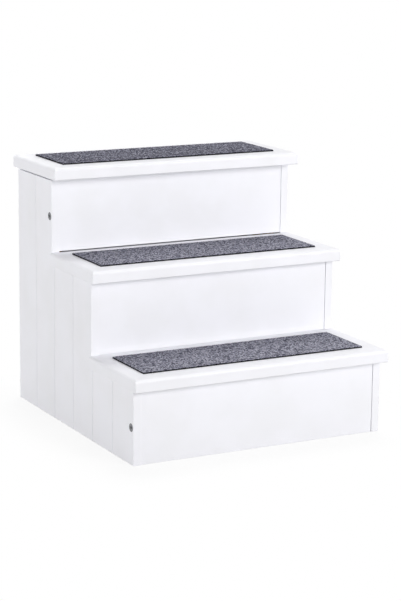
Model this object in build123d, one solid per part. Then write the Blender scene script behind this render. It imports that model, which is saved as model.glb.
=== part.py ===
from build123d import *
import os

# Pet stairs: three treads on two stepped side panels, with a storage box under the hinged top tread.
# Millimetres. X runs across the stairs, Y from the front to the back, Z up from the floor.
# The origin is on the floor, under the middle of the stairs' overall width and depth.

# The stairs as a whole
carcass_width = 400.0      # over the outer faces of the side panels
going = 137.5              # from one riser's front face to the next
top_step_depth = 125.0     # from the top riser's front face to the panels' back edges
rise = 125.0               # floor to tread top, and on to the next one
board = 12.0               # thickness of panels, risers, back and storage floor
tread_thickness = 18.0
edge_ease = 0.6            # small chamfer along board edges
joint_ease = 0.2           # the same where a riser and a panel meet
riser_recess = 1.2         # from the panels' front edges to the risers' faces

# Treads and lid
front_overhang = 15.0
lid_front_overhang = 22.0
lid_back_overhang = 9.0
side_overhang = 4.5
nosing_radius = 4.0        # along the top edges
tread_corner_radius = 1.5  # seen from above
under_chamfer = 1.0
tread_gap = 0.3            # between a fixed tread's back edge and the panels' edges behind it
top_riser_slot = 1.2       # open height between the top riser and the middle tread

# Carpets
carpet_thickness = 2.5
carpet_front_inset = 29.5
carpet_back_inset = 23.0
carpet_side_inset = 26.7
carpet_corner_radius = 1.0
carpet_edge_round = 0.6

# Side panel grooves
groove_count = 5
groove_width = 3.0
groove_depth = 1.5

# Rails under the back edges of the fixed treads, and cleats under the storage floor
rail_side = 18.0
floor_cleat_width = 12.0
floor_cleat_height = 15.0
floor_cleat_inset = 6.0

# Wooden dowels
dowel_radius = 3.0
dowel_length = 30.0
dowel_in_panel = 8.0
tread_dowel_length = 22.0
tread_dowel_in_tread = 10.0
dowel_clearance = 0.1
dowel_end_room = 0.6
dowel_end_chamfer = 0.8
riser_dowel_shares = (0.2, 0.8)
top_riser_dowel_shares = (0.2, 0.86)
back_dowel_shares = (0.12, 0.62)
tread_dowel_shares = (0.25, 0.75)

# Connector bolts and barrel nuts
bolt_radius = 3.0
bolt_length = 40.0
bolt_head_radius = 6.0
bolt_head_height = 3.0
bolt_head_sink = 0.1       # from the panel's face to the head's top
bolt_socket_across = 4.0
bolt_socket_depth = 2.6
bolt_clearance = 0.1
bolt_end_room = 2.0
nut_radius = 5.0
nut_length = 10.0
nut_from_end = 22.0        # from the riser's end to the nut's middle
nut_recess = 0.6
nut_slot_width = 1.6
nut_slot_depth = 1.4

# Cam fittings that draw the back panel to the side panels
cam_radius = 6.0
cam_height = 9.0
cam_from_end = 24.0
cam_clearance = 0.1
cam_bolt_radius = 2.5
cam_bolt_in_panel = 8.5
cam_bolt_neck_radius = 1.7
cam_bolt_neck_length = 4.0
cam_bolt_head_radius = 2.8
cam_bolt_head_length = 2.4
cam_slot_room = 0.4
cam_cross_length = 7.0
cam_cross_width = 1.5
cam_cross_depth = 1.3
cam_height_shares = (0.25, 0.9)

# Wood screws
screw_radius = 1.6
screw_head_radius = 3.4
screw_head_height = 2.2
screw_tip_length = 3.0
screw_point_share = 0.15   # of the shank's radius, left at the tip
screw_clearance = 0.05
screw_sink = 0.3
screw_cross_length = 3.2
screw_cross_width = 0.8
screw_cross_depth = 1.2
screw_bite = 9.0           # how far a screw reaches into the panel behind a cleat
tread_screw_bite = 12.0
tread_screw_share = 0.36   # of the rail's length, each side of the middle
floor_cleat_screw_share = 0.28

# Lid hinges
hinge_length = 40.0
hinge_place_share = 0.28   # of the carcass width, each side of the middle
hinge_leaf = 0.7
hinge_leaf_width = 12.5
hinge_pin_radius = 0.6
hinge_pin_clearance = 0.05
hinge_leaf_offset = 0.15  # from the knuckle's rim to the leaf's outer face
hinge_knuckles = 5
hinge_knuckle_gap = 0.2
hinge_notch_room = 0.3
hinge_pin_head_radius = 1.2
hinge_pin_head_height = 0.6
hinge_back_gap = 0.3       # from the back panel's face to the knuckle
hinge_screw_radius = 1.2
hinge_screw_head_radius = 2.3
hinge_screw_head_height = 1.1
hinge_screw_length = 13.0
hinge_screw_proud = 0.3
hinge_screw_tip = 2.4
hinge_screw_share = 0.32
hinge_cross_length = 2.4
hinge_cross_width = 0.6
hinge_cross_depth = 0.7

# Bumpers that carry the lid's front
bumper_radius = 4.5
bumper_clearance = 0.1
bumper_round = 0.8
bumper_place_share = 0.3

overrun = 1.0              # how far a cut runs past the face it opens

# Places worked out from the sizes above
knuckle_radius = hinge_pin_radius + hinge_pin_clearance + hinge_leaf
lid_gap = 2 * (knuckle_radius + hinge_leaf_offset)
carcass_depth = 2 * going + top_step_depth
overall_depth = front_overhang + carcass_depth + lid_back_overhang
y_front = front_overhang - overall_depth / 2
y_middle = y_front + going
y_top = y_middle + going
y_back = y_front + carcass_depth
x_out = carcass_width / 2
x_in = x_out - board
seat_1 = rise - tread_thickness
seat_2 = 2 * rise - tread_thickness
carcass_top = 3 * rise - tread_thickness
lid_under = carcass_top + lid_gap
hinge_y = y_back + hinge_back_gap + knuckle_radius
hinge_z = carcass_top + lid_gap / 2
hinge_x = carcass_width * hinge_place_share
face_bottom = y_front + riser_recess
face_middle = y_middle + riser_recess
face_top = y_top + riser_recess
top_riser_under = 2 * rise + top_riser_slot
storage_front = face_top + board
storage_under = top_riser_under
storage_top = storage_under + board
top_bolt_z = (2 * rise + carcass_top) / 2
bottom_bolt_z = seat_1 / 2
bolt_hole_radius = bolt_radius + bolt_clearance
bolt_head_x = -x_out + bolt_head_sink
dowel_hole_radius = dowel_radius + dowel_clearance
tread_dowel_below = tread_dowel_length - tread_dowel_in_tread
x_panel_middle = x_out - board / 2
rail_length = 2 * x_in
tread_screw_length = rail_side + tread_screw_bite
floor_screw_length = floor_cleat_width + screw_bite - screw_sink
floor_screw_x = -x_in + floor_cleat_width - screw_sink
floor_cleat_y0 = storage_front + floor_cleat_inset
floor_cleat_y1 = y_back - board - floor_cleat_inset
floor_cleat_z = storage_under - floor_cleat_height / 2
floor_cleat_middle = (floor_cleat_y0 + floor_cleat_y1) / 2
floor_cleat_step = (floor_cleat_y1 - floor_cleat_y0) * floor_cleat_screw_share
floor_cleat_screw_places = [floor_cleat_middle - floor_cleat_step, floor_cleat_middle + floor_cleat_step]
hinge_screw_step = hinge_length * hinge_screw_share
hinge_screw_places = [(hinge_x + side * hinge_screw_step, y_back - board / 2) for side in (-1, 1)]
knuckle_length = hinge_length / hinge_knuckles


def block(x0, x1, y0, y1, z0, z1):
    size = Box(x1 - x0, y1 - y0, z1 - z0)
    return Pos((x0 + x1) / 2, (y0 + y1) / 2, (z0 + z1) / 2) * size


def rod(start, direction, radius, length):
    # A round bar from a point along a direction
    plane = Plane(origin=start, z_dir=direction)
    return plane * Cylinder(radius, length, align=(Align.CENTER, Align.CENTER, Align.MIN))


def placed(piece, point, direction):
    # Pieces drawn with their head at the origin and their tip down -Z are turned to point along a direction
    opposite = tuple(-part for part in direction)
    return Plane(origin=point, z_dir=opposite) * piece


def save(node, solids):
    os.makedirs("parts", exist_ok=True)
    shape = solids[0] if len(solids) == 1 else Compound(children=list(solids))
    export_step(shape, f"parts/{node}.step")


def both_sides(pieces):
    return pieces + [mirror(piece, Plane.YZ) for piece in pieces]


# Fasteners, each drawn with its head's top at the origin and its tip down -Z

def cross_recess(length, width, depth):
    arm = Pos(0, 0, -depth / 2) * Box(length, width, depth)
    return arm + Rot(0, 0, 90) * arm


def wood_screw(length, radius, head_radius, head_height, tip_length, cross):
    head = Pos(0, 0, -head_height / 2) * Cone(radius, head_radius, head_height)
    straight = length - head_height - tip_length
    shank = Pos(0, 0, -head_height - straight / 2) * Cylinder(radius, straight)
    tip = Pos(0, 0, tip_length / 2 - length) * Cone(radius * screw_point_share, radius, tip_length)
    return head + shank + tip - cross_recess(*cross)


def screw_hole(length, radius, head_radius, head_height, clearance):
    # The room that a countersunk screw takes, with its clearance all round
    head = Pos(0, 0, -head_height / 2) * Cone(radius + clearance, head_radius + clearance, head_height)
    shank = rod((0, 0, 0), (0, 0, -1), radius + clearance, length + clearance)
    mouth = rod((0, 0, 0), (0, 0, 1), head_radius + clearance, overrun)
    return head + shank + mouth


screw_cross = (screw_cross_length, screw_cross_width, screw_cross_depth)
hinge_cross = (hinge_cross_length, hinge_cross_width, hinge_cross_depth)


def cleat_screw(length):
    return wood_screw(length, screw_radius, screw_head_radius, screw_head_height,
                      screw_tip_length, screw_cross)


def cleat_screw_hole(length):
    return screw_hole(length, screw_radius, screw_head_radius, screw_head_height, screw_clearance)


def bolt_hole():
    return screw_hole(bolt_length + bolt_end_room, bolt_radius, bolt_head_radius,
                      bolt_head_height, bolt_clearance)


def hinge_screw():
    return wood_screw(hinge_screw_length, hinge_screw_radius, hinge_screw_head_radius,
                      hinge_screw_head_height, hinge_screw_tip, hinge_cross)


def hinge_screw_hole():
    return screw_hole(hinge_screw_length, hinge_screw_radius, hinge_screw_head_radius,
                      hinge_screw_head_height, screw_clearance)


def dowel(length):
    pin = Cylinder(dowel_radius, length, align=(Align.CENTER, Align.CENTER, Align.MIN))
    return chamfer(pin.edges().filter_by(GeomType.CIRCLE), dowel_end_chamfer)


# Where the boards meet the side panels, as (y, z) places on the left panel

def board_places(y_face, z0, z1, shares):
    return [(y_face + board / 2, z0 + (z1 - z0) * share) for share in shares]


bottom_riser_dowels = board_places(face_bottom, 0, seat_1, riser_dowel_shares)
middle_riser_dowels = board_places(face_middle, seat_1, seat_2, riser_dowel_shares)
top_riser_dowels = board_places(face_top, top_riser_under, carcass_top, top_riser_dowel_shares)
back_dowels = board_places(y_back - board, 0, carcass_top, back_dowel_shares)
rail_dowels = [(y - rail_side / 2, seat - rail_side / 2) for y, seat in ((y_middle, seat_1), (y_top, seat_2))]
panel_dowel_places = bottom_riser_dowels + middle_riser_dowels + top_riser_dowels + back_dowels + rail_dowels
cam_places = board_places(y_back - board, 0, carcass_top, cam_height_shares)
bolt_places = [(face_bottom + board / 2, bottom_bolt_z), (face_top + board / 2, top_bolt_z)]
tread_dowel_places = [(y_front + going * share, seat_1) for share in tread_dowel_shares]
tread_dowel_places += [(y_middle + going * share, seat_2) for share in tread_dowel_shares]


def panel_dowel_holes(places, depth_in_panel, depth_in_board):
    # Blind holes that run both ways from the left panel's inner face
    holes = []
    for y, z in places:
        start = (-x_in - depth_in_panel, y, z)
        holes.append(rod(start, (1, 0, 0), dowel_hole_radius, depth_in_panel + depth_in_board))
    return holes


def left_dowel_holes(places):
    return panel_dowel_holes(places, dowel_in_panel + dowel_end_room,
                             dowel_length - dowel_in_panel + dowel_end_room)


def tread_dowel_holes():
    holes = []
    for y, seat in tread_dowel_places:
        start = (-x_panel_middle, y, seat - tread_dowel_below - dowel_end_room)
        holes.append(rod(start, (0, 0, 1), dowel_hole_radius, tread_dowel_length + 2 * dowel_end_room))
    return holes


# Side panels

def groove(y):
    # A V cut down the left panel's outer face
    slope = groove_width / 2 / groove_depth
    mouth = groove_width / 2 + overrun * slope
    with_x = -x_out - overrun
    line = Polyline((with_x, y - mouth), (-x_out + groove_depth, y), (with_x, y + mouth), close=True)
    return extrude(make_face(line), carcass_top)


def left_panel():
    outline = Polyline((y_front, 0), (y_back, 0), (y_back, carcass_top), (y_top, carcass_top),
                       (y_top, seat_2), (y_middle, seat_2), (y_middle, seat_1), (y_front, seat_1), close=True)
    panel = Pos(-x_out, 0, 0) * extrude(Plane.YZ * make_face(outline), board)
    panel = chamfer(panel.faces().sort_by(Axis.X)[0].edges(), edge_ease)
    panel = chamfer(panel.faces().sort_by(Axis.X)[-1].edges(), joint_ease)
    for number in range(groove_count):
        panel -= groove(y_front + carcass_depth * (number + 1) / (groove_count + 1))
    for hole in left_dowel_holes(panel_dowel_places) + tread_dowel_holes():
        panel -= hole
    for y, z in bolt_places:
        panel -= placed(bolt_hole(), (bolt_head_x, y, z), (1, 0, 0))
    for y, z in cam_places:
        cam_bolt_hole_depth = cam_bolt_in_panel + dowel_end_room
        panel -= rod((-x_in, y, z), (-1, 0, 0), cam_bolt_radius + cam_clearance, cam_bolt_hole_depth)
    for y in floor_cleat_screw_places:
        panel -= placed(cleat_screw_hole(floor_screw_length), (floor_screw_x, y, floor_cleat_z), (-1, 0, 0))
    return panel


# Risers and back panel

def riser(y_face, z0, z1):
    plate = block(-x_in, x_in, y_face, y_face + board, z0, z1)
    return chamfer(plate.faces().sort_by(Axis.Y)[0].edges(), joint_ease)


def bolt_and_nut_holes(y, z):
    shank = placed(bolt_hole(), (bolt_head_x, y, z), (1, 0, 0))
    mouth = (-x_in + nut_from_end, y + board / 2, z)
    nut = rod(mouth, (0, -1, 0), nut_radius + dowel_clearance, nut_length + nut_recess)
    return both_sides([shank, nut])


def drilled(plate, holes):
    for hole in holes:
        plate -= hole
    return plate


def tread_screw_point(y_face, seat):
    # Screws run up through a rail into the tread that lies on it
    return (rail_length * tread_screw_share, y_face - rail_side / 2, seat - rail_side + screw_sink)


def tread_screws(y_face, seat):
    return both_sides([placed(cleat_screw(tread_screw_length), tread_screw_point(y_face, seat), (0, 0, 1))])


def tread_screw_holes(y_face, seat):
    hole = placed(cleat_screw_hole(tread_screw_length), tread_screw_point(y_face, seat), (0, 0, 1))
    return both_sides([hole])


def tread_rail(y_face, seat, dowel_place):
    bar = block(-x_in, x_in, y_face - rail_side, y_face, seat - rail_side, seat)
    bar = chamfer(bar.edges().filter_by(Axis.X), edge_ease)
    return drilled(bar, both_sides(left_dowel_holes([dowel_place])) + tread_screw_holes(y_face, seat))


def cam_holes():
    holes = []
    for y, z in cam_places:
        holes.append(rod((-x_in, y, z), (1, 0, 0), cam_bolt_head_radius + cam_clearance, cam_from_end))
        start = (-x_in + cam_from_end, y_back - board, z)
        holes.append(rod(start, (0, 1, 0), cam_radius + cam_clearance, cam_height + cam_clearance))
    return both_sides(holes)


def back_panel():
    plate = block(-x_in, x_in, y_back - board, y_back, 0, carcass_top)
    plate = chamfer(plate.faces().sort_by(Axis.Y)[-1].edges(), edge_ease)
    top = carcass_top + hinge_leaf + hinge_screw_proud
    screws = [placed(hinge_screw_hole(), (x, y, top), (0, 0, -1)) for x, y in hinge_screw_places]
    return drilled(plate, both_sides(left_dowel_holes(back_dowels)) + cam_holes() + both_sides(screws))


# Treads, lid and carpets

def nosed_outline(start, end, z0, both_ends):
    # A tread's section: top corners rounded and lower ones chamfered, at both ends or only at the start
    middle = Pos((start + end) / 2, z0 + tread_thickness / 2)
    outline = middle * Rectangle(end - start, tread_thickness)
    count = 2 if both_ends else 1
    outline = fillet(outline.vertices().sort_by(Axis.Y)[-2:].sort_by(Axis.X)[:count], nosing_radius)
    return chamfer(outline.vertices().sort_by(Axis.Y)[:2].sort_by(Axis.X)[:count], under_chamfer)


def tread_board(y0, y1, z0, round_back):
    # What the board's outlines from the side, from the front and from above have in common
    x_end = x_out + side_overhang
    from_side = Plane.YZ * nosed_outline(y0, y1, z0, round_back)
    from_front = Plane.XZ * nosed_outline(-x_end, x_end, z0, True)
    from_above = Pos(0, (y0 + y1) / 2) * Rectangle(2 * x_end, y1 - y0)
    corners = from_above.vertices().sort_by(Axis.Y)
    from_above = fillet(corners if round_back else corners[:2], tread_corner_radius)
    plate = Pos(-x_end - overrun, 0, 0) * extrude(from_side, 2 * (x_end + overrun))
    plate &= Pos(0, y1 + overrun, 0) * extrude(from_front, y1 - y0 + 2 * overrun)
    return plate & Pos(0, 0, z0 - overrun) * extrude(from_above, tread_thickness + 2 * overrun)


def fixed_tread(y_step, seat):
    plate = tread_board(y_step - front_overhang, y_step + going - tread_gap, seat, False)
    return drilled(plate, both_sides(tread_dowel_holes()) + tread_screw_holes(y_step + going, seat))


def lid_board():
    plate = tread_board(y_top - lid_front_overhang, y_back + lid_back_overhang, lid_under, True)
    bottom = lid_under - hinge_leaf - hinge_screw_proud
    screws = [placed(hinge_screw_hole(), (x, y, bottom), (0, 0, 1)) for x, y in hinge_screw_places]
    return drilled(plate, both_sides(screws))


def carpet(y0, y1, z):
    x_end = x_out + side_overhang - carpet_side_inset
    mat = block(-x_end, x_end, y0 + carpet_front_inset, y1 - carpet_back_inset, z, z + carpet_thickness)
    mat = fillet(mat.edges().filter_by(Axis.Z), carpet_corner_radius)
    return fillet(mat.faces().sort_by(Axis.Z)[-1].edges(), carpet_edge_round)


# Storage box under the lid

def storage_floor():
    plate = block(-x_in, x_in, storage_front, y_back - board, storage_under, storage_top)
    return chamfer(plate.faces().sort_by(Axis.Z)[-1].edges(), edge_ease)


def left_floor_cleat():
    bar = block(-x_in, -x_in + floor_cleat_width, floor_cleat_y0, floor_cleat_y1,
                storage_under - floor_cleat_height, storage_under)
    bar = chamfer(bar.edges().filter_by(Axis.Y), edge_ease)
    for y in floor_cleat_screw_places:
        bar -= placed(cleat_screw_hole(floor_screw_length), (floor_screw_x, y, floor_cleat_z), (-1, 0, 0))
    return bar


def floor_cleat_screws():
    screws = []
    for y in floor_cleat_screw_places:
        screws.append(placed(cleat_screw(floor_screw_length), (floor_screw_x, y, floor_cleat_z), (-1, 0, 0)))
    return both_sides(screws)


# Connector bolts and barrel nuts

def connector_bolt():
    # A countersunk bolt with a hexagonal socket
    head = Pos(0, 0, -bolt_head_height / 2) * Cone(bolt_radius, bolt_head_radius, bolt_head_height)
    bolt = head + rod((0, 0, 0), (0, 0, -1), bolt_radius, bolt_length)
    return bolt - extrude(RegularPolygon(bolt_socket_across / 2, 6, major_radius=False), -bolt_socket_depth)


def connector_bolts():
    bolts = [placed(connector_bolt(), (bolt_head_x, y, z), (1, 0, 0)) for y, z in bolt_places]
    return both_sides(bolts)


def barrel_nut():
    nut = rod((0, 0, 0), (0, 0, -1), nut_radius, nut_length)
    slot = Pos(0, 0, -nut_slot_depth / 2) * Box(2 * nut_radius, nut_slot_width, nut_slot_depth)
    axis_depth = board / 2 - nut_recess
    return nut - slot - rod((-nut_radius, 0, -axis_depth), (1, 0, 0), bolt_hole_radius, 2 * nut_radius)


def barrel_nuts():
    nuts = []
    for y, z in bolt_places:
        mouth = (-x_in + nut_from_end, y + board / 2 - nut_recess, z)
        nuts.append(Pos(*mouth) * Rot(-90, 0, 0) * barrel_nut())
    return both_sides(nuts)


# Cam fittings

def cam_bolts():
    neck_end = cam_from_end + cam_bolt_head_length / 2
    bolts = []
    for y, z in cam_places:
        body = rod((-x_in - cam_bolt_in_panel, y, z), (1, 0, 0), cam_bolt_radius,
                   cam_bolt_in_panel + neck_end - cam_bolt_head_length - cam_bolt_neck_length)
        neck = rod((-x_in, y, z), (1, 0, 0), cam_bolt_neck_radius, neck_end)
        head = rod((-x_in + neck_end, y, z), (-1, 0, 0), cam_bolt_head_radius, cam_bolt_head_length)
        bolts.append(body + neck + head)
    return both_sides(bolts)


def cam_locks():
    slot_half = cam_bolt_head_radius + cam_slot_room
    slot_end = cam_bolt_head_length / 2 + cam_slot_room
    locks = []
    for y, z in cam_places:
        x_cam = -x_in + cam_from_end
        face = y_back - board
        disc = rod((x_cam, face, z), (0, 1, 0), cam_radius, cam_height)
        disc -= block(x_cam - cam_radius, x_cam + slot_end, y - slot_half, y + slot_half + cam_height,
                      z - slot_half, z + slot_half)
        cross = cross_recess(cam_cross_length, cam_cross_width, cam_cross_depth)
        locks.append(disc - placed(cross, (x_cam, face, z), (0, 1, 0)))
    return both_sides(locks)


# Dowels

def panel_dowels():
    pins = []
    for y, z in panel_dowel_places:
        plane = Plane(origin=(-x_in - dowel_in_panel, y, z), z_dir=(1, 0, 0))
        pins.append(plane * dowel(dowel_length))
    return both_sides(pins)


def tread_dowels():
    pins = []
    for y, seat in tread_dowel_places:
        pins.append(Pos(-x_panel_middle, y, seat - tread_dowel_below) * dowel(tread_dowel_length))
    return both_sides(pins)


# Hinges. Both leaves share one pin; the frame leaf has the outer knuckles.

def knuckle(number):
    x0 = hinge_x - hinge_length / 2 + number * knuckle_length + hinge_knuckle_gap / 2
    return rod((x0, hinge_y, hinge_z), (1, 0, 0), knuckle_radius, knuckle_length - hinge_knuckle_gap)


def knuckle_notch(number):
    # The room that the other leaf's knuckle needs in this leaf
    x0 = hinge_x - hinge_length / 2 + number * knuckle_length - hinge_knuckle_gap / 2
    reach = knuckle_radius + hinge_notch_room
    return block(x0, x0 + knuckle_length + hinge_knuckle_gap, hinge_y - reach, hinge_y + reach,
                 hinge_z - lid_gap / 2, hinge_z + lid_gap / 2)


def hinge_leaf_plate(z0, own_numbers, other_numbers, screws):
    leaf = block(hinge_x - hinge_length / 2, hinge_x + hinge_length / 2, hinge_y - hinge_leaf_width, hinge_y,
                 z0, z0 + hinge_leaf)
    for number in own_numbers:
        leaf += knuckle(number)
    for number in other_numbers:
        leaf -= knuckle_notch(number)
    bore = rod((hinge_x - hinge_length / 2 - overrun, hinge_y, hinge_z), (1, 0, 0),
               hinge_pin_radius + hinge_pin_clearance, hinge_length + 2 * overrun)
    return drilled(leaf, [bore] + screws)


def hinge_parts():
    outer = range(0, hinge_knuckles, 2)
    inner = range(1, hinge_knuckles, 2)
    low = carcass_top + hinge_leaf + hinge_screw_proud
    high = lid_under - hinge_leaf - hinge_screw_proud
    low_places = [((x, y, low), (0, 0, -1)) for x, y in hinge_screw_places]
    high_places = [((x, y, high), (0, 0, 1)) for x, y in hinge_screw_places]
    low_holes = [placed(hinge_screw_hole(), *place) for place in low_places]
    high_holes = [placed(hinge_screw_hole(), *place) for place in high_places]
    frame_leaf = hinge_leaf_plate(carcass_top, outer, inner, low_holes)
    lid_leaf = hinge_leaf_plate(lid_under - hinge_leaf, inner, outer, high_holes)
    low_screws = [placed(hinge_screw(), *place) for place in low_places]
    high_screws = [placed(hinge_screw(), *place) for place in high_places]
    return frame_leaf, lid_leaf, low_screws, high_screws


def hinge_pin():
    end = hinge_length / 2
    left = (hinge_x - end, hinge_y, hinge_z)
    right = (hinge_x + end, hinge_y, hinge_z)
    pin = rod(left, (1, 0, 0), hinge_pin_radius, hinge_length)
    pin += rod(left, (-1, 0, 0), hinge_pin_head_radius, hinge_pin_head_height)
    return pin + rod(right, (1, 0, 0), hinge_pin_head_radius, hinge_pin_head_height)


def bumper():
    height = lid_gap - bumper_clearance
    foot = (carcass_width * bumper_place_share, face_top + board / 2, carcass_top)
    pad = rod(foot, (0, 0, 1), bumper_radius, height)
    return fillet(pad.edges().sort_by(Axis.Z)[-1], bumper_round)


left_side = left_panel()
frame_leaf, lid_leaf, frame_screws, lid_screws = hinge_parts()
bottom_front = y_front - front_overhang
middle_front = y_middle - front_overhang
lid_front = y_top - lid_front_overhang

save("left_side_panel", [left_side])
save("right_side_panel", [mirror(left_side, Plane.YZ)])
save("bottom_riser", [drilled(riser(face_bottom, 0, seat_1),
                              both_sides(left_dowel_holes(bottom_riser_dowels))
                              + bolt_and_nut_holes(*bolt_places[0]))])
save("middle_riser", [drilled(riser(face_middle, seat_1, seat_2),
                              both_sides(left_dowel_holes(middle_riser_dowels)))])
save("top_riser", [drilled(riser(face_top, top_riser_under, carcass_top),
                           both_sides(left_dowel_holes(top_riser_dowels))
                           + bolt_and_nut_holes(*bolt_places[1]))])
save("back_panel", [back_panel()])
save("bottom_tread", [fixed_tread(y_front, seat_1)])
save("middle_tread", [fixed_tread(y_middle, seat_2)])
save("lid", [lid_board()])
save("bottom_carpet", [carpet(bottom_front, y_middle, rise)])
save("middle_carpet", [carpet(middle_front, y_top, 2 * rise)])
save("lid_carpet", [carpet(lid_front, y_back + lid_back_overhang, lid_under + tread_thickness)])
save("bottom_tread_rail", [tread_rail(y_middle, seat_1, rail_dowels[0])])
save("middle_tread_rail", [tread_rail(y_top, seat_2, rail_dowels[1])])
save("tread_screws", tread_screws(y_middle, seat_1) + tread_screws(y_top, seat_2))
save("storage_floor", [storage_floor()])
save("left_floor_cleat", [left_floor_cleat()])
save("right_floor_cleat", [mirror(left_floor_cleat(), Plane.YZ)])
save("floor_cleat_screws", floor_cleat_screws())
save("connector_bolts", connector_bolts())
save("barrel_nuts", barrel_nuts())
save("cam_bolts", cam_bolts())
save("cam_locks", cam_locks())
save("panel_dowels", panel_dowels())
save("tread_dowels", tread_dowels())
save("hinge_frame_leaves", both_sides([frame_leaf]))
save("hinge_lid_leaves", both_sides([lid_leaf]))
save("hinge_pins", both_sides([hinge_pin()]))
save("hinge_frame_screws", both_sides(frame_screws))
save("hinge_lid_screws", both_sides(lid_screws))
save("lid_bumpers", both_sides([bumper()]))
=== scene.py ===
import math
import random

import bpy
import numpy as np
from mathutils import Matrix, Vector, kdtree, noise


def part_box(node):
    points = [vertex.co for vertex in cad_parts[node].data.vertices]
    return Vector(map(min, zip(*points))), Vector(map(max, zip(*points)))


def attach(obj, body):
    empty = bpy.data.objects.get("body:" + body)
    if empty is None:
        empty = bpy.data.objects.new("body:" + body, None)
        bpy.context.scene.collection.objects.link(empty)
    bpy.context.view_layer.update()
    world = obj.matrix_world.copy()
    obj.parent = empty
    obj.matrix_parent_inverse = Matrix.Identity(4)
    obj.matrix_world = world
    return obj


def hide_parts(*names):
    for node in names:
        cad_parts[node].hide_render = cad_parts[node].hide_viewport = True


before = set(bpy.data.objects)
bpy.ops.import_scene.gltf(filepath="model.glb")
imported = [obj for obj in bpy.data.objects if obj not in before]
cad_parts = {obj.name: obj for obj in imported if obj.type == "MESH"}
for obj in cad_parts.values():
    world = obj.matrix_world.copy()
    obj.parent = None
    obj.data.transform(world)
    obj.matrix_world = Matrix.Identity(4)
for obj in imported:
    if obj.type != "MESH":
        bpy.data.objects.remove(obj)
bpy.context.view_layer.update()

print("stairs: the frame is loaded,", len(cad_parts), "nodes")


# Camera: where the picture was taken from, in degrees and metres
cameraView = {
    "azimuth": 28.026,          # it stands this far to the left of straight ahead
    "elevation": 12.517,
    "roll": 0.648,
    "target": (0.0, 0.0, 0.190),
    "aside": -0.005901,         # the target's place across and up the picture, at its distance
    "above": 0.014456,
    "distance": 2.892766,
    "lens": 116.409,            # in millimetres, for a long side of the picture of longSide
    "longSide": 36.0,
    "nearest": 0.05,            # only what lies between these two distances is drawn
    "furthest": 60.0,
}


def placeCamera(view):
    across, down, roll = (math.radians(view[k]) for k in ("azimuth", "elevation", "roll"))
    level = math.cos(down)
    ahead = Vector((math.sin(across) * level, math.cos(across) * level, -math.sin(down)))
    levelRight = Vector((math.cos(across), -math.sin(across), 0.0))
    levelUp = levelRight.cross(ahead)
    right = levelRight * math.cos(roll) + levelUp * math.sin(roll)
    up = levelUp * math.cos(roll) - levelRight * math.sin(roll)
    target = Vector(view["target"])
    eye = target - right * view["aside"] - up * view["above"] - ahead * view["distance"]
    turn = Matrix((right, up, -ahead)).transposed().to_euler()
    bpy.ops.object.camera_add(location=eye, rotation=turn)
    camera = bpy.context.object
    camera.name = "picture"
    camera.data.lens = view["lens"]
    camera.data.sensor_width = view["longSide"]
    camera.data.clip_start = view["nearest"]
    camera.data.clip_end = view["furthest"]
    bpy.context.scene.camera = camera


placeCamera(cameraView)
bpy.context.scene.view_settings.view_transform = "Standard"
print("stairs: camera placed")


textureMiddle = 0.5             # noise lies between 0 and 1, about this value


# Shader maths: one output socket that can be added, multiplied and so on
class Wire:
    def __init__(self, tree, socket=None):
        self.tree = tree
        self.socket = socket

    def add(self, kind, settings=None, sockets=None, output=0):
        # output is the number or the name of the socket that goes on
        node = self.tree.nodes.new("ShaderNode" + kind)
        for name, value in (settings or {}).items():
            if name == "stops":
                setStops(node.color_ramp, value)
            else:
                setattr(node, name, value)
        for name, value in (sockets or {}).items():
            if isinstance(value, Wire):
                self.tree.links.new(value.socket, node.inputs[name])
            else:
                node.inputs[name].default_value = value
        return Wire(self.tree, node.outputs[output] if node.outputs else None)

    def maths(self, operation, first, second=0.0, clamp=False):
        settings = {"operation": operation, "use_clamp": clamp}
        return self.add("Math", settings, {0: first, 1: second})

    def __add__(self, other):
        return self.maths("ADD", self, other)

    def __radd__(self, other):
        return self.maths("ADD", other, self)

    def __sub__(self, other):
        return self.maths("SUBTRACT", self, other)

    def __rsub__(self, other):
        return self.maths("SUBTRACT", other, self)

    def __mul__(self, other):
        return self.maths("MULTIPLY", self, other)

    def __rmul__(self, other):
        return self.maths("MULTIPLY", other, self)

    def clamped(self):
        return self.maths("ADD", self, 0.0, clamp=True)

    def swing(self, reach):
        # a texture's value moved to lie about nought, times a reach
        return (self - textureMiddle) * reach

    def ease(self, edges):
        # 0 below the first edge, 1 above the second, smooth between them
        low, high = edges
        return self.add("MapRange", {"interpolation_type": "SMOOTHSTEP"},
                        {"Value": self, "From Min": low, "From Max": high})

    def tint(self, first, second):
        # a colour between two by this value: sockets 6 and 7 are the colours, output 2 their mix
        return self.add("Mix", {"data_type": "RGBA"}, {0: self, 6: first, 7: second}, output=2)

    def grain(self, place, scale, detail=2.0, rough=0.5, warp=0.0):
        return self.add("TexNoise", None, {"Vector": place, "Scale": scale, "Detail": detail,
                                           "Roughness": rough, "Distortion": warp})


def setStops(ramp, stops):
    for place, _ in stops[1:-1]:
        ramp.elements.new(place)
    for element, (place, colour) in zip(ramp.elements, stops):
        element.position = place
        element.color = colour


def screenToLinear(value):
    # the curve that every sRGB screen uses
    if value <= 0.04045:
        return value / 12.92
    return ((value + 0.055) / 1.055) ** 2.4


def rgb(red, green, blue):
    # a colour as it reads on screen, 0 to 255, for a socket
    return tuple(screenToLinear(value / 255.0) for value in (red, green, blue)) + (1.0,)


def newFinish(name):
    material = bpy.data.materials.new(name)
    material.use_nodes = True
    material.node_tree.nodes.clear()
    return material, Wire(material.node_tree)


def closeFinish(wire, shader):
    wire.add("OutputMaterial", None, {"Surface": shader})


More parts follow.
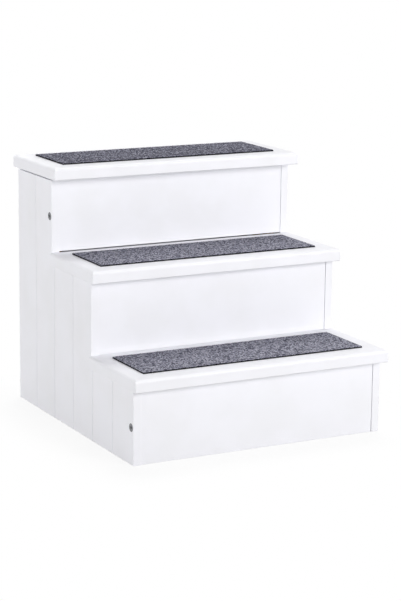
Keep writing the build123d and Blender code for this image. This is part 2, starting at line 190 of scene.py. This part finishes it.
def coverWith(wire, colour, roughness, height, strength, others=None):
    # the surface of a finish, with its bumps' height in metres
    bump = wire.add("Bump", None, {"Height": height, "Distance": 1.0, "Strength": strength})
    sockets = {"Base Color": colour, "Roughness": roughness, "Normal": bump}
    sockets.update(others or {})
    closeFinish(wire, wire.add("BsdfPrincipled", None, sockets))


def onPiece(wire, scale=(1.0, 1.0, 1.0)):
    # the place on the piece, in metres, times a scale along each axis
    place = wire.add("TexCoord", output="Object")
    return wire.add("Mapping", None, {"Vector": place, "Scale": scale})


# In the finishes a scale is a texture's fineness, per metre, a height or a depth is in metres,
# and edges are the values between which a texture fades in

# White satin lacquer on the boards
lacquer = {
    "white": rgb(243, 243, 248),
    "thinWhite": rgb(240, 240, 244),
    "cloudScale": 16.0,         # clouds where the coat is thinner
    "cloudEdges": (0.35, 0.68),
    "cloudRoughness": 0.10,
    "peelScale": 620.0,         # bumps of the sprayed coat
    "peelHeight": 0.000022,
    "peelRoughness": 0.06,
    "fibreScale": 2600.0,
    "fibreHeight": 0.000004,
    "roughness": 0.42,
    "bumpStrength": 0.8,
}


def makeLacquer(look):
    material, wire = newFinish("whiteLacquer")
    place = onPiece(wire)
    cloud = wire.grain(place, look["cloudScale"], detail=3.0)
    peel = wire.grain(place, look["peelScale"], detail=1.0)
    fibre = wire.grain(place, look["fibreScale"])
    colour = cloud.ease(look["cloudEdges"]).tint(look["white"], look["thinWhite"])
    unevenness = cloud.swing(look["cloudRoughness"])
    roughness = look["roughness"] + unevenness + peel.swing(look["peelRoughness"])
    height = peel * look["peelHeight"] + fibre * look["fibreHeight"]
    coverWith(wire, colour, roughness, height, look["bumpStrength"])
    return material


# Bare wood: planed rails and cleats, and turned dowels, with the figure along one axis
timber = {
    "figureWarp": 1.6,
    "rings": 7.0,               # growth rings from the figure's lowest value to its highest
    "lateEdges": (0.55, 0.95),  # the dark late wood in each ring
    "lateShare": 0.75,
    "lateDepth": 0.00002,
    "fibreScale": 1900.0,
    "fibreShare": 0.5,
    "fibreHeight": 0.00006,
    "fibreRoughness": 0.2,
    "poreScale": 5200.0,
    "poreEdges": (0.62, 0.72),
    "poreShare": 0.35,
    "poreDepth": 0.00005,
    "bumpStrength": 0.7,
}
pine = timber | {
    "pale": rgb(226, 196, 150),
    "dark": rgb(189, 148, 98),
    "pore": rgb(150, 110, 70),
    "figureScale": 34.0,
    "stretch": 0.09,            # the scale along the wood, which draws the figure out
    "roughness": 0.62,
}
beech = timber | {
    "pale": rgb(219, 181, 136),
    "dark": rgb(190, 146, 100),
    "pore": rgb(140, 96, 62),
    "figureScale": 90.0,
    "stretch": 0.12,
    "roughness": 0.58,
}


def makeWood(name, look, along):
    material, wire = newFinish(name)
    place = onPiece(wire, tuple(look["stretch"] if axis == along else 1.0 for axis in "XYZ"))
    figure = wire.grain(place, look["figureScale"], warp=look["figureWarp"])
    late = wire.maths("FRACT", figure * look["rings"]).ease(look["lateEdges"])
    fibre = wire.grain(place, look["fibreScale"], detail=3.0)
    pores = wire.grain(place, look["poreScale"], detail=1.0).ease(look["poreEdges"])
    darker = (late * look["lateShare"] + fibre.swing(look["fibreShare"])).clamped()
    wood = darker.tint(look["pale"], look["dark"])
    colour = (pores * look["poreShare"]).tint(wood, look["pore"])
    roughness = look["roughness"] + fibre.swing(look["fibreRoughness"])
    height = fibre * look["fibreHeight"] - pores * look["poreDepth"] - late * look["lateDepth"]
    coverWith(wire, colour, roughness, height, look["bumpStrength"])
    return material


# Plated metals
plating = {
    "cloudCoarser": 0.25,       # clouds and brushing, against the scale of the wear
    "brushFiner": 5.0,
    "brushStretch": (0.15, 1.0, 1.0),
    "cloudEdges": (0.42, 0.70),
    "cloudShare": 0.7,
    "speckEdges": (0.58, 0.74),
    "speckShare": 0.5,
    "speckHeight": 0.000008,
    "brushHeight": 0.000006,
    "brushRoughness": 0.12,
    "dullRoughness": 0.16,
    "bumpStrength": 0.6,
}
metals = {
    "boltZinc": {
        "bright": rgb(133, 134, 137),
        "dull": rgb(91, 92, 96),
        "roughness": 0.38,
        "wearScale": 900.0,
    },
    "screwZinc": {
        "bright": rgb(205, 204, 198),
        "dull": rgb(150, 147, 138),
        "roughness": 0.36,
        "wearScale": 1400.0,
    },
    "hingeNickel": {
        "bright": rgb(214, 211, 205),
        "dull": rgb(176, 172, 164),
        "roughness": 0.27,
        "wearScale": 520.0,
    },
}


def makeMetal(name):
    look = plating | metals[name]
    material, wire = newFinish(name)
    place, along = onPiece(wire), onPiece(wire, look["brushStretch"])
    cloud = wire.grain(place, look["wearScale"] * look["cloudCoarser"], detail=3.0, rough=0.6)
    speck = wire.grain(place, look["wearScale"], detail=3.0, rough=0.7)
    brushed = wire.grain(along, look["wearScale"] * look["brushFiner"])
    clouded = cloud.ease(look["cloudEdges"]) * look["cloudShare"]
    dull = (clouded + speck.ease(look["speckEdges"]) * look["speckShare"]).clamped()
    colour = dull.tint(look["bright"], look["dull"])
    rougher = dull * look["dullRoughness"]
    roughness = look["roughness"] + rougher + brushed.swing(look["brushRoughness"])
    height = brushed * look["brushHeight"] + speck * look["speckHeight"]
    coverWith(wire, colour, roughness, height, look["bumpStrength"], {"Metallic": 1.0})
    return material


# Rubber of the lid's bumpers
rubber = {
    "plain": rgb(84, 84, 86),
    "dusty": rgb(112, 111, 109),
    "bloomScale": 480.0,        # the pale bloom on old rubber
    "bloomEdges": (0.40, 0.75),
    "bloomRoughness": 0.2,
    "pitScale": 2880.0,
    "pitHeight": 0.00003,
    "roughness": 0.72,
    "bumpStrength": 0.6,
}


def makeRubber(look):
    material, wire = newFinish("bumperRubber")
    place = onPiece(wire)
    bloom = wire.grain(place, look["bloomScale"], detail=4.0, rough=0.65)
    pits = wire.grain(place, look["pitScale"], detail=1.0)
    colour = bloom.ease(look["bloomEdges"]).tint(look["plain"], look["dusty"])
    roughness = look["roughness"] + bloom.swing(look["bloomRoughness"])
    coverWith(wire, colour, roughness, pits * look["pitHeight"], look["bumpStrength"])
    return material


# Carpet yarn: the tone of each loop and its depth come from the pile's own mesh
yarn = {
    "light": rgb(187, 187, 200),
    "middle": rgb(116, 116, 131),
    "dark": rgb(47, 47, 58),
    # painted shadow: the colour that the valleys between the loops are painted towards
    "rootShadow": rgb(24, 24, 30),
    "backing": rgb(30, 30, 34),
    "fibreScale": 1500.0,
    "fibreShare": 0.7,
    "fibreHeight": 0.00035,
    "fleckScale": 620.0,
    "fleckShare": 0.5,
    "fuzzScale": 3400.0,
    "fuzzHeight": 0.00012,
    "sideEdges": (0.25, 0.95),  # the upward part of the normal on a loop's side and on its top
    "paintedSideShade": 0.55,          # painted shade: how much darker the steep sides of the loops are painted
    "rootShadowEdges": (0.45, 1.1),   # the depths at which the painted root shadow and the backing's own colour begin
    # how strongly the valleys between the loops are painted with shadow
    "paintedRootShade": 0.7,
    "backingEdges": (1.2, 1.8),
    "roughness": 0.92,
    "gloss": 0.1,
    "bumpStrength": 0.9,
}


def makeYarn(look):
    material, wire = newFinish("carpetYarn")
    place = onPiece(wire)
    tone = wire.add("Attribute", {"attribute_name": "loopTone"}, output="Fac")
    depth = wire.add("Attribute", {"attribute_name": "loopDepth"}, output="Fac")
    fibre = wire.grain(place, look["fibreScale"], detail=3.0, rough=0.65)
    fleck = wire.grain(place, look["fleckScale"])
    fuzz = wire.grain(place, look["fuzzScale"])
    mixed = (tone + fibre.swing(look["fibreShare"]) + fleck.swing(look["fleckShare"])).clamped()
    stops = [(0.0, look["dark"]), (0.5, look["middle"]), (1.0, look["light"])]
    heather = wire.add("ValToRGB", {"stops": stops}, {"Fac": mixed})
    # painted shade: the steep sides of the loops, and the upright cut edge, are painted darker
    normal = wire.add("TexCoord", output="Normal")
    upward = wire.add("SeparateXYZ", None, {"Vector": normal}, output="Z")
    paintedSideDarkening = (1.0 - upward.ease(look["sideEdges"])) * look["paintedSideShade"]
    # painted shade: the valleys between the loops and the top of the cut edge are darkened
    # towards the root shadow colour
    paintedRootShadow = depth.ease(look["rootShadowEdges"]) * look["paintedRootShade"]
    shaded = (paintedRootShadow + paintedSideDarkening).clamped().tint(heather, look["rootShadow"])
    colour = depth.ease(look["backingEdges"]).tint(shaded, look["backing"])
    height = fibre * look["fibreHeight"] + fuzz * look["fuzzHeight"]
    coverWith(wire, colour, look["roughness"], height, look["bumpStrength"],
              {"Specular IOR Level": look["gloss"]})
    return material


carpetYarn = makeYarn(yarn)

# The finish of each node that keeps its own shape
finishOf = {
    makeLacquer(lacquer): ["left_side_panel", "right_side_panel", "back_panel", "bottom_riser",
                           "middle_riser", "top_riser", "bottom_tread", "middle_tread", "lid",
                           "storage_floor"],
    makeWood("pineAcross", pine, "X"): ["bottom_tread_rail", "middle_tread_rail"],
    makeWood("pineDeep", pine, "Y"): ["left_floor_cleat", "right_floor_cleat"],
    makeWood("beechAcross", beech, "X"): ["panel_dowels"],
    makeWood("beechUpright", beech, "Z"): ["tread_dowels"],
    makeMetal("boltZinc"): ["connector_bolts", "barrel_nuts", "cam_bolts", "cam_locks"],
    makeMetal("screwZinc"): ["tread_screws", "floor_cleat_screws", "hinge_frame_screws",
                             "hinge_lid_screws"],
    makeMetal("hingeNickel"): ["hinge_frame_leaves", "hinge_lid_leaves", "hinge_pins"],
    makeRubber(rubber): ["lid_bumpers"],
}
print("stairs: finishes mixed")


def paintNodes(finishes):
    for material, names in finishes.items():
        for name in names:
            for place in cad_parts[name].material_slots:
                place.material = material


paintNodes(finishOf)
print("stairs: boards and fittings painted")


# Carpets: a dense low pile of short loops on a dark backing, one piece on each tread
pile = {
    "loopPitch": 0.0023,        # from one loop to the next along a row
    "rowPitch": 0.0019,
    "rowStarts": (1.5, 1.0),    # how far outside the carpet even and odd rows start, in pitches
    "stray": 0.30,              # how far a loop stands off its place, in pitches
    "relief": 0.0008,           # from the roots to the top of the loops
    "lowestLoop": 0.72,         # a share of the tallest loop's height
    "domePower": 2.2,           # the higher, the flatter the loops are on top
    "gridStep": 0.00078,
    "cornerRadius": 0.001,
    "edgeRound": 0.0008,        # radius of the cut edge's upper corner, and the share that is cut
    "edgeShare": 0.75,
    "edgeStray": 0.00032,       # how far the cut edge goes in between its loops
    "frayScale": 900.0,
    "frayShare": 0.4,
    "sideReach": 0.8,           # how soon the loops' bulge ends down the cut edge
    "skirtRings": (0.0006, 0.0007, 0.0007),
    "skirtDepth": 0.75,         # loopDepth at the top of the cut edge, and what its foot adds; the top is painted shade, the foot takes the backing's own dark colour
    "skirtGain": 1.3,
    "toneSpread": 0.34,
    "patchSize": 0.011,         # patches of lighter and darker yarn
    "patchSpread": 0.05,
    "seed": 31,
}
# The three carpets are one yarn: their tones differ only as painted light on the lower two and
# painted shade on the top one
carpets = {
    "bottomCarpetPile": {
        "node": "bottom_carpet",
        "body": "carcass",
        "restsOn": "bottom_tread",
        "tone": 0.63,           # how light its yarn is, from 0 to 1; one yarn, painted lighter on the lower carpets and darker on the top one, as painted light and shade
    },
    "middleCarpetPile": {
        "node": "middle_carpet",
        "body": "carcass",
        "restsOn": "middle_tread",
        "tone": 0.61,
    },
    "topCarpetPile": {
        "node": "lid_carpet",
        "body": "lid",
        "restsOn": "lid",
        "tone": 0.41,
    },
}
hair = 1e-6                     # a length that counts as nothing, in metres
dust = 1e-9                     # keeps a ratio of lengths from dividing by nothing


def deselectAll():
    if bpy.context.object and bpy.context.object.mode != "OBJECT":
        bpy.ops.object.mode_set(mode="OBJECT")
    bpy.ops.object.select_all(action="DESELECT")


def cutCarpet(name, low, high, look):
    # a fine grid for the pile, a skirt in rings for the cut edge, and one face under it
    width, length, thickness = high.x - low.x, high.y - low.y, high.z - low.z
    deselectAll()
    bpy.ops.mesh.primitive_grid_add(
        x_subdivisions=round(width / look["gridStep"]),
        y_subdivisions=round(length / look["gridStep"]),
        size=1.0,
        enter_editmode=True,
        location=((low.x + high.x) / 2, (low.y + high.y) / 2, high.z),
    )
    carpet = bpy.context.object
    carpet.name = name
    bpy.ops.transform.resize(value=(width, length, 1.0))
    bpy.ops.mesh.region_to_loop()
    rings = look["skirtRings"]
    for drop in (*rings, thickness - sum(rings)):
        bpy.ops.mesh.extrude_edges_move(TRANSFORM_OT_translate={"value": (0.0, 0.0, -drop)})
    bpy.ops.mesh.edge_face_add()
    bpy.ops.mesh.select_all(action="SELECT")
    bpy.ops.mesh.normals_make_consistent(inside=False)
    bpy.ops.object.mode_set(mode="OBJECT")
    bpy.ops.object.transform_apply(location=True, rotation=True, scale=True)
    return carpet


def plantLoops(low, high, tone, look, draw):
    # centres of the loops in staggered rows, each with its own height and tone
    spots, loops = [], []
    reach = look["stray"] * look["loopPitch"]
    row = 0
    y = low.y - look["rowPitch"]
    while y < high.y + look["rowPitch"]:
        x = low.x - look["loopPitch"] * look["rowStarts"][row % 2]
        while x < high.x + look["loopPitch"]:
            spot = Vector((x + draw.uniform(-reach, reach), y + draw.uniform(-reach, reach), 0.0))
            patch = noise.noise(spot / look["patchSize"])
            ownTone = tone + draw.gauss(0.0, look["toneSpread"]) + patch * look["patchSpread"]
            height = draw.uniform(look["lowestLoop"], 1.0)
            spots.append(spot)
            loops.append((height, min(1.0, max(0.0, ownTone))))
            x += look["loopPitch"]
        y += look["rowPitch"]
        row += 1
    finder = kdtree.KDTree(len(spots))
    for index, spot in enumerate(spots):
        finder.insert(spot, index)
    finder.balance()
    return finder, loops


def roundCorner(x, y, half, radius):
    # the square corner of the grid drawn in to a quarter circle, and the distance to the edge
    inX, inY = abs(x) - (half.x - radius), abs(y) - (half.y - radius)
    if inX <= 0.0 or inY <= 0.0:
        return x, y, min(half.x - abs(x), half.y - abs(y))
    pull = max(inX, inY) / math.hypot(inX, inY)
    x = math.copysign(half.x - radius + inX * pull, x)
    y = math.copysign(half.y - radius + inY * pull, y)
    return x, y, radius - max(inX, inY)


def frayStep(spot, x, y, half, dome, look):
    # a step out of the cut edge on its loops, and into it between them
    radius = look["cornerRadius"]
    outward = Vector((x / half.x if abs(x) > half.x - radius else 0.0,
                      y / half.y if abs(y) > half.y - radius else 0.0, 0.0))
    unevenness = look["frayShare"] * noise.noise(spot * look["frayScale"])
    return outward.normalized() * (look["edgeStray"] * (dome - 1.0 + unevenness))


def edgeDrop(toEdge, look):
    # how far the upper corner of the cut edge is rounded down, this far from the edge
    inward = max(0.0, 1.0 - toEdge / look["edgeRound"])
    arc = 1.0 - math.sqrt(max(0.0, 1.0 - inward * inward))
    return look["edgeRound"] * arc * look["edgeShare"]


def raisePile(carpet, low, high, tone, look, draw):
    finder, loops = plantLoops(low, high, tone, look, draw)
    mesh = carpet.data
    middle = Vector(((low.x + high.x) / 2, (low.y + high.y) / 2, 0.0))
    half = Vector(((high.x - low.x) / 2, (high.y - low.y) / 2, 0.0))
    tones, depths, places = [], [], []
    for vertex in mesh.vertices:
        spot = vertex.co.copy()
        under = high.z - spot.z
        x, y = spot.x - middle.x, spot.y - middle.y
        x, y, toEdge = roundCorner(x, y, half, look["cornerRadius"])
        spot.x, spot.y = middle.x + x, middle.y + y
        asked = Vector((spot.x, spot.y, under * look["sideReach"]))
        (_, nearest, near), (_, _, further) = finder.find_n(asked, 2)
        height, loopTone = loops[nearest]
        dome = 1.0 - (2.0 * near / (near + further + dust)) ** look["domePower"]
        if toEdge < hair and spot.z > low.z + hair:
            spot += frayStep(spot, x, y, half, dome, look)
        if under < hair:
            drop = max(look["relief"] * (1.0 - dome * height), edgeDrop(toEdge, look))
            spot.z = high.z - drop
            depth = 1.0 - dome
        else:
            share = under / (high.z - low.z)
            depth = look["skirtDepth"] + look["skirtGain"] * share
        places.append(spot)
        tones.append(loopTone)
        depths.append(depth)
    mesh.vertices.foreach_set("co", np.array(places, np.float32).ravel())
    for name, values in (("loopTone", tones), ("loopDepth", depths)):
        attribute = mesh.attributes.new(name, "FLOAT", "POINT")
        attribute.data.foreach_set("value", np.array(values, np.float32))
    mesh.update()


def layCarpets(rows, look, finish):
    draw = random.Random(look["seed"])
    for name, row in rows.items():
        low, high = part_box(row["node"])
        carpet = cutCarpet(name, low, high, look)
        raisePile(carpet, low, high, row["tone"], look, draw)
        carpet.data.materials.append(finish)
        for face in carpet.data.polygons:
            face.use_smooth = True
        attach(carpet, row["body"])
        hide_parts(row["node"])
        print("stairs:", name, len(carpet.data.polygons), "faces")


layCarpets(carpets, pile, carpetYarn)


# Studio: a white floor that keeps the shadow, soft lamps and a white surround
plainWhite = (1.0, 1.0, 1.0, 1.0)
studio = {
    "floorSize": 60.0,
    "floorDrop": 0.0003,        # how far the floor lies under the stairs
    "floorShown": (0.98, 0.98, 0.98, 1.0),
    "floorBounce": (0.50, 0.50, 0.50, 1.0),     # what the floor throws back on the stairs
    "glowNear": 0.87,           # share of plain white in the floor that is seen under the stairs
    "footprint": (0.20, 0.20, 0.0),             # from the middle, along each axis
    "whiteReach": 0.11,         # this far outside the footprint the floor is plain white
    "surround": 0.25,           # strength of the light from all round
    "lampAim": (0.0, 0.0, 0.2),
}
lamps = {
    "frontSoftbox": {"place": (2.60, -5.00, 1.80), "size": 2.8, "power": 259.0},
    "leftSoftbox": {"place": (-4.00, 0.00, 0.60), "size": 2.0, "power": 96.0},
    "rightSoftbox": {"place": (3.50, 2.20, 0.50), "size": 1.6, "power": 45.0},
    "backSoftbox": {"place": (0.30, 4.00, 0.50), "size": 2.0, "power": 48.0},
    "topSoftbox": {"place": (1.20, 1.60, 4.60), "size": 2.0, "power": 97.0},
}


def seenDirectly(wire):
    # 1 for what is seen straight, in a reflection or through glass
    rays = ("Is Camera Ray", "Is Glossy Ray", "Is Transmission Ray")
    straight, mirrored, through = (wire.add("LightPath", output=ray) for ray in rays)
    return (straight + mirrored + through).clamped()


def makeFloor(look):
    deselectAll()
    place = (0.0, 0.0, -look["floorDrop"])
    bpy.ops.mesh.primitive_plane_add(size=look["floorSize"], location=place)
    floor = bpy.context.object
    floor.name = "studioFloor"
    bpy.ops.object.transform_apply(location=True, rotation=True, scale=True)
    material, wire = newFinish("studioFloorWhite")
    bounce = wire.add("BsdfDiffuse", None, {"Color": look["floorBounce"]})
    plain = wire.add("BsdfDiffuse", None, {"Color": look["floorShown"]})
    glow = wire.add("Emission", None, {"Color": plainWhite, "Strength": 1.0})
    unsigned = wire.add("VectorMath", {"operation": "ABSOLUTE"}, {0: onPiece(wire)})
    past = wire.add("VectorMath", {"operation": "SUBTRACT"}, {0: unsigned, 1: look["footprint"]})
    outside = wire.add("VectorMath", {"operation": "MAXIMUM"}, {0: past, 1: (0.0, 0.0, 0.0)})
    away = wire.add("VectorMath", {"operation": "LENGTH"}, {0: outside}, output="Value")
    farther = away.ease((0.0, look["whiteReach"]))
    share = look["glowNear"] + farther * (1.0 - look["glowNear"])
    shown = wire.add("MixShader", None, {0: share, 1: plain, 2: glow})
    closeFinish(wire, wire.add("MixShader", None, {0: seenDirectly(wire), 1: bounce, 2: shown}))
    floor.data.materials.append(material)


def makeSurround(look):
    world = bpy.data.worlds.new("studioSurround")
    bpy.context.scene.world = world
    world.use_nodes = True
    world.node_tree.nodes.clear()
    wire = Wire(world.node_tree)
    strength = seenDirectly(wire) * (1.0 - look["surround"]) + look["surround"]
    light = wire.add("Background", None, {"Color": plainWhite, "Strength": strength})
    wire.add("OutputWorld", None, {"Surface": light})


def hangLamps(rows, aim):
    for name, row in rows.items():
        place = Vector(row["place"])
        turn = (Vector(aim) - place).to_track_quat("-Z", "Y").to_euler()
        bpy.ops.object.light_add(type="AREA", location=place, rotation=turn)
        lamp = bpy.context.object
        lamp.name = name
        lamp.data.size = row["size"]
        lamp.data.energy = row["power"]
        lamp.visible_camera = False


makeFloor(studio)
makeSurround(studio)
hangLamps(lamps, studio["lampAim"])
deselectAll()
print("stairs: studio set")
